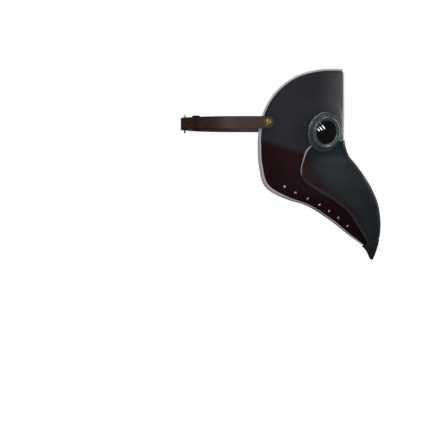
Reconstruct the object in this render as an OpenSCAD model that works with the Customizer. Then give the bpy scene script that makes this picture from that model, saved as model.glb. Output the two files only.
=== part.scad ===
// Plague doctor mask: moulded leather face panels, a laid-on beak shell, round goggles
// and a buckled head strap that swings on two temple studs.
// Frame: origin at the bridge of the wearer's nose, at eye height on the centre plane.
// +X runs forward along the beak, +Y to the wearer's left, +Z up.

/* [Leather] */
// Thickness of the beak shell leather
shell_t = 2; // [1.5:0.1:2.5]
// Thickness of the face panel leather
panel_t = 2; // [1.5:0.1:2.5]
// Thickness of the underside gusset leather
gusset_t = 1.5; // [1:0.1:2]
// Glue gap between two layers of leather
layer_gap = 0.3; // [0.2:0.05:0.5]
// Radius of the piping along the edge of the face panels
piping_r = 1.7; // [1.2:0.1:2.2]

/* [Goggles] */
// Radius of the socket flange
flange_r = 33; // [30:0.5:35]
// Thickness of the socket flange
flange_t = 4; // [3:0.5:5]
// Radius of the socket tube that passes through the face panel
tube_r = 23; // [21:0.5:25]
// Radius of the clear opening in front of the lens
window_r = 19.6; // [17:0.2:20.5]
// Height of the bezel crest above the flange
bezel_h = 6.6; // [5:0.2:8]
// Height of the lens dome above the rim of the lens
dome_h = 3.8; // [2:0.2:5]

/* [Rivets] */
// Radius of a rivet cap
cap_r = 2.3; // [2.2:0.1:3.4]
// Height of a rivet cap
cap_h = 1.3; // [1:0.1:2]
// Radius of a rivet shank
shank_r = 1.4; // [1:0.1:1.8]

/* [Head strap] */
// Width of the strap
strap_w = 20; // [16:1:24]
// Thickness of the strap leather
strap_t = 1.8; // [1.5:0.1:2.5]
// Radius of the bend round the back of the head
head_r = 84; // [80:1:92]
// Distance from the origin back to the centre of that bend
head_back = 115; // [105:1:125]
// Radius of the holes for the buckle prong
hole_r = 2; // [1.6:0.1:2.4]
// Distance between two holes
hole_pitch = 20; // [16:1:24]
// Radius of the buckle wire
wire_r = 1.5; // [1.2:0.1:2]
// Distance between the two bars of the buckle
buckle_l = 24; // [20:1:30]

/* [Hidden] */

panel_out = -(shell_t + layer_gap);
panel_in = panel_out - panel_t;
gusset_out = panel_in - layer_gap;
gusset_in = gusset_out - gusset_t;
seam_gap = 0.3;

// Cross sections of the mask from the top of the forehead (row 0) to the tip of the beak.
// Each row: ridge x and z, back edge x and z, half width, fullness, radius of the ridge.
stations = [
    [61, 100, -78, 100, 84, 1.38, 8],
    [61.2, 60, -79, 60, 85, 1.36, 8],
    [61.2, 20, -80, 18, 86, 1.35, 8],
    [61, -16, -80, -22, 86, 1.38, 8],
    [67.5, -40, -78, -60, 83, 1.5, 8],
    [80.5, -57, -69, -93, 77, 1.7, 9],
    [95, -77, -33, -113, 69, 1.9, 10],
    [107.5, -99, 3, -126, 57, 2.05, 10],
    [116.8, -124, 40, -150, 42, 2.15, 9],
    [120.2, -153, 69, -173, 28, 2.2, 7],
    [117.3, -183, 96, -193, 14, 2.25, 5],
    [108.4, -211.6, 105.4, -211.6, 3, 2.3, 2]];
// How far the back edge turns in towards the face
tuck = 0.04;

function mix(a, b, f) = a + (b - a) * f;
function unit(v) = v / norm(v);
function ease(x) = let (c = min(max(x, 0), 1)) c * c * (3 - 2 * c);
function flatten(rows) = [for (row = rows) each row];

// A smooth curve through the rows of P; x counts the rows.
function curve(P, x) = let (
    n = len(P),
    i = min(max(floor(x), 0), n - 2),
    f = x - i,
    a = i == 0 ? 2 * P[0] - P[1] : P[i - 1],
    b = P[i],
    c = P[i + 1],
    d = i == n - 2 ? 2 * P[n - 1] - P[n - 2] : P[i + 2])
    0.5 * (2 * b + (c - a) * f + (2 * a - 5 * b + 4 * c - d) * f * f
        + (3 * b - a - 3 * c + d) * f * f * f);

// The wearer's left half of the outer form: t counts the stations, q runs from the ridge
// (0) to the back edge (1).
function bare(t, q) = let (
    S = curve(stations, t),
    dx = S[2] - S[0],
    dz = S[3] - S[1],
    full = S[5],
    c = S[6] * norm([dx, dz]) / pow(full * S[4], 2),
    s = sqrt((1 + 2 * c) * q * q + c * c) - c,
    y = full * q - (full - 1) * pow(q, full / (full - 1)) - tuck * pow(q, 3))
    [S[0] + dx * s, S[4] * y, S[1] + dz * s];

// The goggles sit on a flat round seat that fades into the form around it.
seat_p = bare(2.59, 0.286);
seat_n = unit([0.53, 0.835, -0.12]);
seat_flat_r = 35;
seat_fade_r = 64;
function form(t, q) = let (
    p = bare(t, q),
    v = p - seat_p,
    d = v * seat_n,
    r = norm(v - d * seat_n),
    k = ease((seat_fade_r - r) / (seat_fade_r - seat_flat_r)) * ease(q / 0.12))
    p - seat_n * d * k;
function normal(t, q) = let (
    e = 0.002,
    dt = form(t + e, q) - form(t - e, q),
    dq = form(t, q + e) - form(t, max(q - e, 0)))
    unit(cross(dt, dq));
function skin(t, q, h) = form(t, q) + h * normal(t, q);

// Place children on the form with +Z along the outward normal.
module on_form(t, q, h) {
    n = normal(t, q);
    translate(skin(t, q, h))
        rotate([0, acos(n.z), atan2(n.y, n.x)])
            children();
}

// A closed sheet between two grids of points; A is the outer face, B the inner face.
module sheet(A, B) {
    n = len(A);
    m = len(A[0]);
    k = n * m;
    polyhedron(
        points = concat(flatten(A), flatten(B)),
        faces = concat(
            [for (i = [0:n - 2], j = [0:m - 2]) each [
                [i * m + j, (i + 1) * m + j, (i + 1) * m + j + 1],
                [i * m + j, (i + 1) * m + j + 1, i * m + j + 1],
                [k + i * m + j, k + (i + 1) * m + j + 1, k + (i + 1) * m + j],
                [k + i * m + j, k + i * m + j + 1, k + (i + 1) * m + j + 1]]],
            [for (i = [0:n - 2]) each [
                [i * m, k + i * m, k + (i + 1) * m],
                [i * m, k + (i + 1) * m, (i + 1) * m],
                [i * m + m - 1, k + (i + 1) * m + m - 1, k + i * m + m - 1],
                [i * m + m - 1, (i + 1) * m + m - 1, k + (i + 1) * m + m - 1]]],
            [for (j = [0:m - 2]) each [
                [j, k + j + 1, k + j],
                [j, j + 1, k + j + 1],
                [(n - 1) * m + j, k + (n - 1) * m + j, k + (n - 1) * m + j + 1],
                [(n - 1) * m + j, k + (n - 1) * m + j + 1, (n - 1) * m + j + 1]]]),
        convexity = 10);
}

// A closed tube through a list of rings of points, capped at both ends.
module rings(R) {
    n = len(R);
    m = len(R[0]);
    polyhedron(
        points = flatten(R),
        faces = concat(
            [for (i = [0:n - 2], j = [0:m - 1]) each [
                [i * m + j, (i + 1) * m + j, (i + 1) * m + (j + 1) % m],
                [i * m + j, (i + 1) * m + (j + 1) % m, i * m + (j + 1) % m]]],
            [[for (j = [0:m - 1]) j]],
            [[for (j = [m - 1:-1:0]) (n - 1) * m + j]]),
        convexity = 10);
}

// ---------------------------------------------------------------- face panels

// Where a face panel starts, under the beak shell, and where it ends, round the face.
panel_inner = [
    [3.75, 0], [3.75, 0.07], [3.75, 0.14], [3.75, 0.21], [3.78, 0.28], [3.85, 0.35],
    [4, 0.42], [4.3, 0.475], [4.7, 0.53], [5.25, 0.57], [5.95, 0.585], [6.8, 0.58],
    [7.8, 0.57], [8.8, 0.58], [9.5, 0.61], [10, 0.68]];
panel_outer = [
    [0.05, 0], [0.05, 0.16], [0.12, 0.36], [0.42, 0.6], [1, 0.8], [1.75, 0.93],
    [2.6, 0.975], [3.6, 0.98], [4.5, 0.973], [5.15, 0.966], [5.9, 0.972], [6.8, 0.971],
    [7.8, 0.967], [8.8, 0.962], [9.5, 0.955], [10, 0.975]];
panel_rows = 15;
panel_steps = 50;
panel_cols = 18;

module face_panel() {
    grid = [for (i = [0:panel_steps]) let (
        x = i * panel_rows / panel_steps,
        a = curve(panel_inner, x),
        b = curve(panel_outer, x))
        [for (j = [0:panel_cols]) let (
            c = mix(a, b, j / panel_cols),
            q = max(c[1], 0))
            [form(c[0], q) + [0, seam_gap / 2, 0], normal(c[0], q)]]];
    difference() {
        sheet(
            [for (row = grid) [for (g = row) g[0] + panel_out * g[1]]],
            [for (row = grid) [for (g = row) g[0] + panel_in * g[1]]]);
        eye_place() translate([0, 0, -20]) cylinder(h = 30, r = tube_r + 0.3, $fn = 96);
    }
}

module face_panel_left() color([0.22, 0.12, 0.14]) face_panel();
module face_panel_right() color([0.22, 0.12, 0.14]) mirror([0, 1, 0]) face_panel();

// ---------------------------------------------------------------- beak shell

// Depth of the lower seam of the shell, at equal steps along the beak
shell_seam = [[0.6], [0.635], [0.645], [0.645], [0.633], [0.626], [0.645], [0.672], [0.75]];
shell_top = 2.95;
shell_corner = 4.5;
shell_end = 9.93;
shell_steps = 34;
shell_cols = 16;

function shell_tq(u, v) = let (
    ridge = mix(shell_top, shell_end, u),
    seam = mix(shell_corner, shell_end, u),
    bend = 1 + 3.4 * pow(1 - u, 3))
    [mix(ridge, seam, pow(v, bend)), v * curve(shell_seam, 8 * u)[0]];

module beak_shell() {
    grid = [for (i = [0:shell_steps])
        [for (j = [0:shell_cols]) let (c = shell_tq(i / shell_steps, j / shell_cols))
            [form(c[0], c[1]) + [0, seam_gap / 2, 0], normal(c[0], c[1])]]];
    difference() {
        sheet(
            [for (row = grid) [for (g = row) g[0]]],
            [for (row = grid) [for (g = row) g[0] - shell_t * g[1]]]);
        eye_place() translate([0, 0, -20]) cylinder(h = 40, r = flange_r + 0.5, $fn = 96);
    }
}

module beak_shell_left() color([0.17, 0.19, 0.21]) beak_shell();
module beak_shell_right() color([0.17, 0.19, 0.21]) mirror([0, 1, 0]) beak_shell();

// ---------------------------------------------------------------- beak tip

// One closed ring round the beak at height h above the form.
tip_q = [0, 0.12, 0.28, 0.46, 0.64, 0.82];
function beak_ring(t, h) = let (
    S = curve(stations, t),
    low = 1 + h / norm([S[2] - S[0], S[3] - S[1]]),
    side = concat([for (q = tip_q) skin(t, q, h)], [skin(t, low, h)]))
    concat(side, [for (j = [6:-1:1]) [side[j].x, -side[j].y, side[j].z]]);

// The cap fits over the end of the shells and panels like a toe cap.
module beak_tip()
    color([0.15, 0.15, 0.17])
    rings([
        beak_ring(10.8, -1.4), beak_ring(10.45, -1.8), beak_ring(10.06, -2), beak_ring(10.05, 0.2),
        beak_ring(9.9, 0.2), beak_ring(9.8, 0.2), beak_ring(9.8, 1.1), beak_ring(9.92, 1.2),
        beak_ring(10.05, 1.2), beak_ring(10.3, 1.2), beak_ring(10.6, 1.1), beak_ring(10.85, 0.9),
        beak_ring(11, 0.4)]);

// ---------------------------------------------------------------- underside gusset

// A floor strip between the two lower edges with a flange turned up inside each panel.
gusset_start = 5.05;
gusset_end = 9.98;
gusset_top_q = 0.78;
gusset_low_q = 0.94;
gusset_scallop = 1.3;
gusset_steps = 24;
flange_cols = 4;
floor_cols = 6;

function gusset_side(t, h, up) = let (
    S = curve(stations, t),
    low = gusset_low_q - up / norm([S[2] - S[0], S[3] - S[1]]))
    [for (j = [0:flange_cols]) skin(t, mix(gusset_top_q, low, j / flange_cols), h)];
function gusset_row(f, h, up) = let (
    t = mix(gusset_start, gusset_end, f),
    side = gusset_side(t, h, up))
    concat(
        side,
        [for (j = [1:floor_cols - 1]) let (
            s = j / floor_cols,
            forward = gusset_scallop * (1 - f) * (1 - pow(2 * s - 1, 2)),
            edge = gusset_side(t + forward * (1 - f), h, up)[flange_cols],
            y = side[flange_cols].y)
            [edge.x, y * (1 - 2 * s), edge.z]],
        [for (j = [flange_cols:-1:0]) [side[j].x, -side[j].y, side[j].z]]);

module beak_underside()
    color([0.1, 0.08, 0.09])
    sheet(
        [for (i = [0:gusset_steps]) gusset_row(i / gusset_steps, gusset_out, 0)],
        [for (i = [0:gusset_steps]) gusset_row(i / gusset_steps, gusset_in, gusset_t)]);

// ---------------------------------------------------------------- welts

// A half-round leather strip laid over a centre seam from t0 to t1.
module welt(t0, t1, h, half_w, rise, steps) {
    rings([for (i = [0:steps]) let (
        t = mix(t0, t1, i / steps),
        p = form(t, 0),
        n = normal(t, 0))
        [for (j = [0:7]) let (a = 180 * j / 7)
            p + (h + rise * sin(a)) * n + [0, half_w * cos(a), 0]]]);
}

module crease_welt() color([0.42, 0.43, 0.44]) welt(0.08, 2.94, panel_out + 0.1, 2.1, 2.4, 20);
module beak_welt() color([0.13, 0.14, 0.16]) welt(2.96, 9.75, 0.1, 2.2, 1, 40);

// ---------------------------------------------------------------- edge piping

piping_steps = 54;
piping_end = 14.45;
piping_sides = 10;

function edge_at(x) = let (c = curve(panel_outer, x))
    skin(c[0], max(c[1], 0), (panel_out + panel_in) / 2) + [0, seam_gap / 2, 0];

module edge_piping() {
    rings([for (i = [0:piping_steps]) let (
        x = mix(0.12, piping_end, i / piping_steps),
        c = curve(panel_outer, x),
        n = normal(c[0], c[1]),
        along = unit(edge_at(x + 0.02) - edge_at(x - 0.02)),
        out = unit(cross(n, along)),
        r = piping_r * (1 - 0.5 * ease((x - 8.8) / 2.4)),
        p = edge_at(x) + out * (r + 0.12))
        [for (j = [0:piping_sides - 1]) let (a = -360 * j / piping_sides)
            p + r * cos(a) * out + r * sin(a) * n]]);
}

module edge_piping_left() color([0.56, 0.54, 0.58]) edge_piping();
module edge_piping_right() color([0.56, 0.54, 0.58]) mirror([0, 1, 0]) edge_piping();

// ---------------------------------------------------------------- beak rivets

// Seven rivets a side fix the face panel to the turned-up flange of the gusset.
rivet_tq = [[5.27, 0.855], [5.77, 0.852], [6.42, 0.862], [7.05, 0.872], [7.5, 0.868],
    [7.95, 0.856], [8.5, 0.853]];
washer_r = 3;
washer_t = 0.6;
washer_gap = 0.35;
rivet_depth = panel_t + layer_gap + gusset_t + washer_gap + washer_t;

module rivet() {
    rotate_extrude($fn = 32) {
        polygon(concat(
            [[0, -rivet_depth - 0.1], [shank_r, -rivet_depth - 0.1], [shank_r, 0.1], [cap_r, 0.1]],
            [for (a = [10:20:90]) [cap_r * cos(a), 0.1 + cap_h * sin(a)]]));
    }
}

module beak_rivets() for (r = rivet_tq) on_form(r[0], r[1], panel_out) rivet();
module rivet_washers() for (r = rivet_tq) on_form(r[0], r[1], gusset_in - washer_t - washer_gap)
    difference() {
        cylinder(h = washer_t, r = washer_r, $fn = 32);
        translate([0, 0, -1]) cylinder(h = 3, r = shank_r + 0.1, $fn = 32);
    }

module beak_rivets_left() color([0.7, 0.68, 0.68]) translate([0, seam_gap / 2, 0]) beak_rivets();
module beak_rivets_right() color([0.7, 0.68, 0.68])
    mirror([0, 1, 0]) translate([0, seam_gap / 2, 0]) beak_rivets();
module rivet_washers_left() color([0.6, 0.58, 0.56])
    translate([0, seam_gap / 2, 0]) rivet_washers();
module rivet_washers_right() color([0.6, 0.58, 0.56])
    mirror([0, 1, 0]) translate([0, seam_gap / 2, 0]) rivet_washers();

// ---------------------------------------------------------------- goggles

// +Z looks out of the eye; z = 0 is the plane of the seat at the outer form.
module eye_place()
    translate(seat_p + [0, seam_gap / 2, 0])
        rotate([0, acos(seat_n.z), atan2(seat_n.y, seat_n.x)])
            children();

flange_z0 = panel_out + 0.1;
flange_z1 = flange_z0 + flange_t;
bore_r = window_r + 0.2;
lens_r = tube_r - 0.8;
collar_r = tube_r + 1;
collar_h = 3.3;
gasket_t = 1;
rim_t = collar_h - gasket_t - 0.1;
lip_z = flange_z1 + collar_h + 0.1;
bezel_r = 28;

module eye_socket()
    rotate_extrude($fn = 96)
        polygon([
            [bore_r, panel_in - 6.5], [tube_r, panel_in - 6.5], [tube_r, flange_z0],
            [flange_r - 0.4, flange_z0], [flange_r, flange_z0 + 0.4],
            [flange_r, flange_z1 - 1.2], [flange_r - 1.2, flange_z1],
            [collar_r, flange_z1], [collar_r, flange_z1 + collar_h],
            [lens_r + 0.1, flange_z1 + collar_h], [lens_r + 0.1, flange_z1], [bore_r, flange_z1]]);

module eye_bezel()
    rotate_extrude($fn = 96)
        polygon([
            [collar_r + 0.05, flange_z1 + 0.05], [bezel_r, flange_z1 + 0.05],
            [bezel_r, flange_z1 + 1.2], [26.9, flange_z1 + 3.9], [25.5, flange_z1 + 5.9],
            [24.6, flange_z1 + bezel_h], [23.6, flange_z1 + bezel_h], [22.6, flange_z1 + 6],
            [21, flange_z1 + 5.2], [window_r, flange_z1 + 4.6], [window_r, lip_z],
            [collar_r + 0.05, lip_z]]);

// Spherical dome over a flat rim; the inner face follows the dome.
module eye_lens() {
    edge_r = window_r - 0.3;
    z0 = flange_z1 + gasket_t + 0.05;
    rotate_extrude($fn = 96)
        polygon(concat(
            [[edge_r - 1, z0], [lens_r, z0], [lens_r, z0 + rim_t]],
            [for (i = [0:10]) let (r = edge_r * (1 - i / 10))
                [r, z0 + rim_t + dome_h * (1 - pow(r / edge_r, 2))]],
            [for (i = [0:9]) let (r = (edge_r - 1) * i / 10)
                [r, z0 + dome_h * (1 - pow(r / (edge_r - 1), 2))]]));
}

module lens_gasket()
    difference() {
        translate([0, 0, flange_z1 + 0.02]) cylinder(h = gasket_t - 0.02, r = lens_r, $fn = 96);
        translate([0, 0, flange_z1 - 1]) cylinder(h = 4, r = window_r + 0.4, $fn = 96);
    }

// Threaded ring that clamps the leather from inside, with four spanner notches.
module eye_lock_ring()
    difference() {
        translate([0, 0, panel_in - 4.1]) cylinder(h = 4, r = 29.5, $fn = 96);
        translate([0, 0, panel_in - 6]) cylinder(h = 8, r = tube_r + 0.05, $fn = 96);
        for (a = [0:90:270]) rotate([0, 0, a]) translate([27.5, -2, panel_in - 5])
            cube([4, 4, 3]);
    }

module eye_socket_left() color([0.1, 0.1, 0.1]) eye_place() eye_socket();
module eye_socket_right() color([0.1, 0.1, 0.1]) mirror([0, 1, 0]) eye_place() eye_socket();
module eye_bezel_left() color([0.14, 0.14, 0.14]) eye_place() eye_bezel();
module eye_bezel_right() color([0.14, 0.14, 0.14]) mirror([0, 1, 0]) eye_place() eye_bezel();
module eye_lens_left() color([0.03, 0.03, 0.03]) eye_place() eye_lens();
module eye_lens_right() color([0.03, 0.03, 0.03]) mirror([0, 1, 0]) eye_place() eye_lens();
module lens_gasket_left() color([0.06, 0.06, 0.06]) eye_place() lens_gasket();
module lens_gasket_right() color([0.06, 0.06, 0.06]) mirror([0, 1, 0]) eye_place() lens_gasket();
module eye_lock_ring_left() color([0.12, 0.12, 0.12]) eye_place() eye_lock_ring();
module eye_lock_ring_right() color([0.12, 0.12, 0.12])
    mirror([0, 1, 0]) eye_place() eye_lock_ring();

// ---------------------------------------------------------------- temple studs

pivot_x = -66;
pivot_z = 11;
pivot_tq = [2.18, 0.907];
pivot_face_y = 79;
stud_r = 2.5;
eyelet_lip = 0.6;
collar_end = head_r - eyelet_lip - 0.1;
head_start = head_r + strap_t + eyelet_lip + 0.1;

// Shank along Y with a washer inside the panel, a collar outside it and a domed head.
module pivot_stud() {
    translate([pivot_x, 0, pivot_z])
        rotate([-90, 0, 0]) {
            translate([0, 0, pivot_face_y - 5])
                cylinder(h = head_start - pivot_face_y + 5.5, r = stud_r, $fn = 48);
            translate([0, 0, pivot_face_y - 0.5])
                cylinder(h = collar_end - pivot_face_y + 0.5, r = 5, $fn = 48);
            translate([0, 0, head_start]) rotate_extrude($fn = 48)
                polygon([[0, 0], [5.5, 0], [5.5, 0.8], [4.6, 1.9], [3, 2.6], [0, 2.9]]);
        }
    on_form(pivot_tq[0], pivot_tq[1], panel_in - 1.4) cylinder(h = 1.2, r = 6, $fn = 48);
}

module pivot_stud_left() color([0.66, 0.62, 0.52]) pivot_stud();
module pivot_stud_right() color([0.66, 0.62, 0.52]) mirror([0, 1, 0]) pivot_stud();

// ---------------------------------------------------------------- head strap

// A strap point: s runs along the strap from the middle of the back of the head (plus to
// the wearer's left), h is the height above the inner face of the strap.
quarter = head_r * PI / 2;
strap_end = quarter + head_back + pivot_x;
function turn(s) = s / head_r * 180 / PI;
function wrap(s, h) = let (
    side = s < 0 ? -1 : 1,
    far = abs(s) - quarter)
    far > 0
        ? [far - head_back, side * (head_r + h)]
        : [-head_back - (head_r + h) * cos(turn(s)), (head_r + h) * sin(turn(s))];

// Children at s on the inner face: +X up the mask, +Y along the strap, +Z out of it.
module on_strap(s) {
    p = wrap(s, 0);
    translate([p.x, p.y, pivot_z]) rotate([0, -90, -turn(s)]) children();
}

front_s = buckle_l / 2;
heel_s = -buckle_l / 2;
bar_h = strap_t + wire_r + 0.25;
fold_h = bar_h + wire_r + 0.25;
fold_end = heel_s - 24;
over_h = fold_h + strap_t + 0.5;
layer_h = strap_t + 0.4;
tip_s = -84;
tip_cut = 9;
hole_s = 2.5;
slot_l = 10;

// Inner face of the long strap: under the front bar, over the heel bar and the fold of the
// short strap, then down on the short strap to the tip.
function long_h(s) = s > heel_s
    ? over_h * ease((front_s - 1 - s) / 15)
    : mix(over_h, layer_h, ease((heel_s - 12 - s) / 22));
function fold_in(s) = mix(fold_h, strap_t + 0.02, ease((heel_s - s) / (heel_s - fold_end)));

// A band of leather whose two faces are the lists of points outer and inner.
module band(outer, inner)
    translate([0, 0, pivot_z - strap_w / 2])
        linear_extrude(height = strap_w)
            polygon(concat(outer, [for (i = [len(inner) - 1:-1:0]) inner[i]]));

// The round end of a strap on the temple stud, and the hole for its eyelet.
module strap_eye(side)
    translate([pivot_x, side > 0 ? head_r : -head_r - strap_t, pivot_z])
        rotate([-90, 0, 0]) cylinder(h = strap_t, r = strap_w / 2, $fn = 64);
module eyelet_hole(side)
    translate([pivot_x, side * head_r - 6, pivot_z])
        rotate([-90, 0, 0]) cylinder(h = 12, r = eyelet_r, $fn = 48);
eyelet_r = 4.5;

long_steps = 96;
module strap_long() {
    at = [for (i = [0:long_steps]) mix(strap_end, tip_s, i / long_steps)];
    color([0.2, 0.12, 0.09])
    difference() {
        union() {
            band([for (s = at) wrap(s, long_h(s) + strap_t)], [for (s = at) wrap(s, long_h(s))]);
            strap_eye(1);
        }
        eyelet_hole(1);
        for (x = [-1, 1]) on_strap(tip_s) translate([x * strap_w / 2, 0, 0])
            rotate([0, 0, 45]) cube([tip_cut, tip_cut, 30], center = true);
        for (i = [-2, -1, 1, 2])
            on_strap(hole_s + i * hole_pitch) cylinder(h = 14, r = hole_r, center = true, $fn = 48);
        on_strap(hole_s) cube([2 * hole_r, slot_l, 24], center = true);
    }
}

short_steps = 60;
fold_steps = 12;
module strap_short() {
    at = [for (i = [0:short_steps]) mix(-strap_end, heel_s, i / short_steps)];
    fold = [for (i = [0:fold_steps]) mix(heel_s, fold_end, i / fold_steps)];
    heel = wrap(heel_s, bar_h);
    color([0.2, 0.12, 0.09])
    difference() {
        union() {
            band([for (s = at) wrap(s, strap_t)], [for (s = at) wrap(s, 0)]);
            band([for (s = fold) wrap(s, fold_in(s) + strap_t)], [for (s = fold) wrap(s, fold_in(s))]);
            translate([heel.x, heel.y, pivot_z - strap_w / 2])
                cylinder(h = strap_w, r = bar_h, $fn = 48);
            strap_eye(-1);
        }
        translate([heel.x, heel.y, pivot_z - strap_w])
            cylinder(h = 2 * strap_w, r = wire_r + 0.2, $fn = 48);
        eyelet_hole(-1);
        on_strap(heel_s) cube([7, 10, 30], center = true);
        for (x = [-5, 5]) on_strap(rivet_s) translate([x, 0, -1]) cylinder(h = 9, r = 1.05, $fn = 24);
    }
}

// Brass eyelets pressed into both strap ends; they turn on the temple studs.
module strap_eyelets()
    color([0.72, 0.6, 0.36])
    for (side = [-1, 1])
        translate([pivot_x, side * (head_r + strap_t / 2), pivot_z])
            rotate([90, 0, 0])
                rotate_extrude($fn = 64)
                    polygon([
                        [stud_r + 0.05, -strap_t / 2 - eyelet_lip], [6.4, -strap_t / 2 - eyelet_lip],
                        [6.4, -strap_t / 2], [eyelet_r, -strap_t / 2],
                        [eyelet_r, strap_t / 2], [6.4, strap_t / 2],
                        [6.4, strap_t / 2 + eyelet_lip], [stud_r + 0.05, strap_t / 2 + eyelet_lip]]);

// Two rivets close the fold of the short strap round the heel bar.
rivet_s = fold_end + 5;
module strap_rivets() {
    top = fold_in(rivet_s) + strap_t;
    color([0.66, 0.64, 0.62])
    for (x = [-5, 5])
        on_strap(rivet_s) translate([x, 0, 0]) rotate_extrude($fn = 32)
            polygon([[0, -0.7], [2.4, -0.7], [2.4, -0.05], [1, -0.05], [1, top + 0.35],
                [2.4, top + 0.35], [2.2, top + 0.9], [1.4, top + 1.3], [0, top + 1.4]]);
}

// ---------------------------------------------------------------- buckle

rail_x = strap_w / 2 + wire_r + 1.5;
front = wrap(front_s, bar_h);
heel = wrap(heel_s, bar_h);
prong_r = 0.95;
prong_up = wire_r + prong_r + 0.1;

module buckle_frame()
    color([0.66, 0.64, 0.6]) {
        for (bar = [front, heel]) translate([bar.x, bar.y, pivot_z])
            cylinder(h = 2 * rail_x, r = wire_r, center = true, $fn = 48);
        for (side = [-1, 1]) translate([front.x, 0, pivot_z + side * rail_x]) {
            rotate([90, 0, 0]) cylinder(h = front.y - heel.y, r = wire_r, center = true, $fn = 48);
            for (y = [front.y, heel.y]) translate([0, y, 0]) sphere(r = wire_r, $fn = 48);
        }
    }

module buckle_prong()
    color([0.7, 0.68, 0.64])
    difference() {
        union() {
            translate([heel.x, heel.y, pivot_z]) cylinder(h = 3, r = 2.9, center = true, $fn = 48);
            translate([heel.x - prong_up, heel.y, pivot_z]) rotate([-90, 0, 0])
                cylinder(h = front.y - heel.y + 3, r = prong_r, $fn = 32);
            translate([heel.x - prong_up, front.y + 3, pivot_z]) sphere(r = prong_r, $fn = 32);
        }
        translate([heel.x, heel.y, pivot_z])
            cylinder(h = 8, r = wire_r + 0.08, center = true, $fn = 48);
    }

// ---------------------------------------------------------------- keeper

keeper_s = -56;
keeper_w = 10;
keeper_t = 1.4;
keeper_gap = 0.6;
module strap_keeper() {
    stack = layer_h + strap_t;
    color([0.18, 0.11, 0.08])
    on_strap(keeper_s) translate([0, 0, stack / 2])
        difference() {
            cube([strap_w + 2 * (keeper_gap + keeper_t), keeper_w,
                stack + 2 * (keeper_gap + keeper_t)], center = true);
            cube([strap_w + 2 * keeper_gap, keeper_w + 2, stack + 2 * keeper_gap], center = true);
        }
}

face_panel_right();
face_panel_left();
beak_shell_right();
beak_shell_left();
beak_tip();
beak_underside();
crease_welt();
beak_welt();
edge_piping_right();
edge_piping_left();
beak_rivets_right();
beak_rivets_left();
rivet_washers_right();
rivet_washers_left();
eye_socket_right();
eye_socket_left();
eye_bezel_right();
eye_bezel_left();
eye_lens_right();
eye_lens_left();
lens_gasket_right();
lens_gasket_left();
eye_lock_ring_right();
eye_lock_ring_left();
pivot_stud_right();
pivot_stud_left();
strap_short();
strap_long();
strap_eyelets();
strap_rivets();
buckle_frame();
buckle_prong();
strap_keeper();
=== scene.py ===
import bpy
import numpy as np
from mathutils import Matrix, Vector


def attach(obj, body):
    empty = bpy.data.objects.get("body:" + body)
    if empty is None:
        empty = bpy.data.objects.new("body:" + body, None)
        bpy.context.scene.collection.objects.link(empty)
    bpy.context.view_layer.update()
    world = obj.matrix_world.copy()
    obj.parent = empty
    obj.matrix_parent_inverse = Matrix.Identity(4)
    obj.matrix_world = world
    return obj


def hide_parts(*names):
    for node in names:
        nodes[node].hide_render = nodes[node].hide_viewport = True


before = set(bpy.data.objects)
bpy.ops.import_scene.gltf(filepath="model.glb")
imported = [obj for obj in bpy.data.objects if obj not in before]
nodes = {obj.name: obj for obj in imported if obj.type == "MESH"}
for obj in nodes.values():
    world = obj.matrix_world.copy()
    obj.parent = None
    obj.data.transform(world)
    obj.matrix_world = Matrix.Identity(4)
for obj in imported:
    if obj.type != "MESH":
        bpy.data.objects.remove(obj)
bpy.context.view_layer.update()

# ---------------------------------------------------------------- camera
# A long lens straight across the mask, level with the beak, sees the wearer's right side in
# profile. The aim point is behind and below the mask, where its wearer's chest would be.
view_width = 0.739
view_distance = 4.2
aim = Vector((-0.137, 0.0, -0.1535))
camera = bpy.data.objects.new("camera", bpy.data.cameras.new("camera"))
bpy.context.scene.collection.objects.link(camera)
camera.data.sensor_width = 36.0
camera.data.lens = 36.0 * view_distance / view_width
camera.data.clip_end = 100.0
camera.location = aim + Vector((0.0, -view_distance, 0.0))
camera.rotation_euler = (np.pi / 2, 0.0, 0.0)
bpy.context.scene.camera = camera
bpy.context.scene.view_settings.view_transform = "Standard"


# ---------------------------------------------------------------- floor and light
# A pale matt floor well under the mask and an even white surround. One broad soft light
# stands ahead of the mask, one behind it, and three narrow panes make a window's bars.
def linear(code):
    """Turns an sRGB hex colour into linear red, green, blue and alpha 1."""
    s = np.array([int(code[i : i + 2], 16) / 255 for i in (1, 3, 5)])
    return (*np.where(s <= 0.04045, s / 12.92, ((s + 0.055) / 1.055) ** 2.4).tolist(), 1.0)


def add_node(tree, kind, feeds=None, **settings):
    """Adds one node; feeds maps an input to a value, or to an output that is linked to it."""
    node = tree.nodes.new(kind)
    for name, value in settings.items():
        setattr(node, name, value)
    for name, value in (feeds or {}).items():
        if isinstance(value, bpy.types.NodeSocket):
            tree.links.new(value, node.inputs[name])
        else:
            node.inputs[name].default_value = value
    return node


def new_material(name):
    """An empty material with a Principled shader wired to its output."""
    material = bpy.data.materials.new(name)
    material.use_nodes = True
    tree = material.node_tree
    tree.nodes.clear()
    shader = add_node(tree, "ShaderNodeBsdfPrincipled")
    add_node(tree, "ShaderNodeOutputMaterial", {"Surface": shader.outputs["BSDF"]})
    return material, tree, shader


world = bpy.data.worlds.new("white_surround")
bpy.context.scene.world = world
world.use_nodes = True
world.node_tree.nodes.clear()
seen = add_node(world.node_tree, "ShaderNodeLightPath")
mirrored = add_node(
    world.node_tree,
    "ShaderNodeMapRange",
    {"Value": seen.outputs["Is Glossy Ray"], "To Min": 0.42, "To Max": 0.05},
)
strength = add_node(
    world.node_tree,
    "ShaderNodeMapRange",
    {"Value": seen.outputs["Is Camera Ray"], "To Min": mirrored.outputs["Result"], "To Max": 1.0},
)
surround = add_node(
    world.node_tree,
    "ShaderNodeBackground",
    {"Color": (1.0, 1.0, 1.0, 1.0), "Strength": strength.outputs["Result"]},
)
add_node(world.node_tree, "ShaderNodeOutputWorld", {"Surface": surround.outputs["Background"]})

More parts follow.
